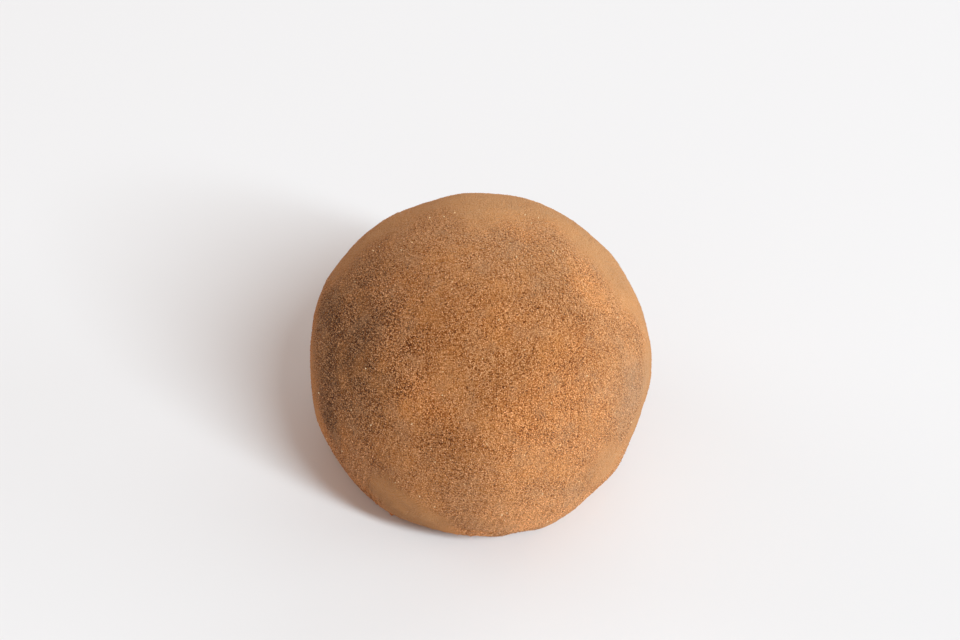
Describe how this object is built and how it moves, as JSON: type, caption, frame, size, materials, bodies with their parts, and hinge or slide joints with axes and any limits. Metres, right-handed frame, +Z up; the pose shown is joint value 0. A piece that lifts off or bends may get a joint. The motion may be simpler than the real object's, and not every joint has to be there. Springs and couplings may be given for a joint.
{
  "type": "chocolate truffle",
  "caption": "Round hand-rolled chocolate truffle coated in cocoa powder, standing on a flat foot with shallow pressed flats in its sides.",
  "frame": {"origin": "on the surface the truffle stands on, below the middle of its outline", "axes": "+Z up through the truffle, -Y towards its front, +X to its right"},
  "size_m": [0.0302, 0.0306, 0.0244],
  "materials": {
    "cocoa_coat": "dry matte cocoa powder, fine grain with darker pits and a few bright specks"
  },
  "bodies": {
    "root": {"truffle": "cocoa_coat"}
  },
  "joints": []
}
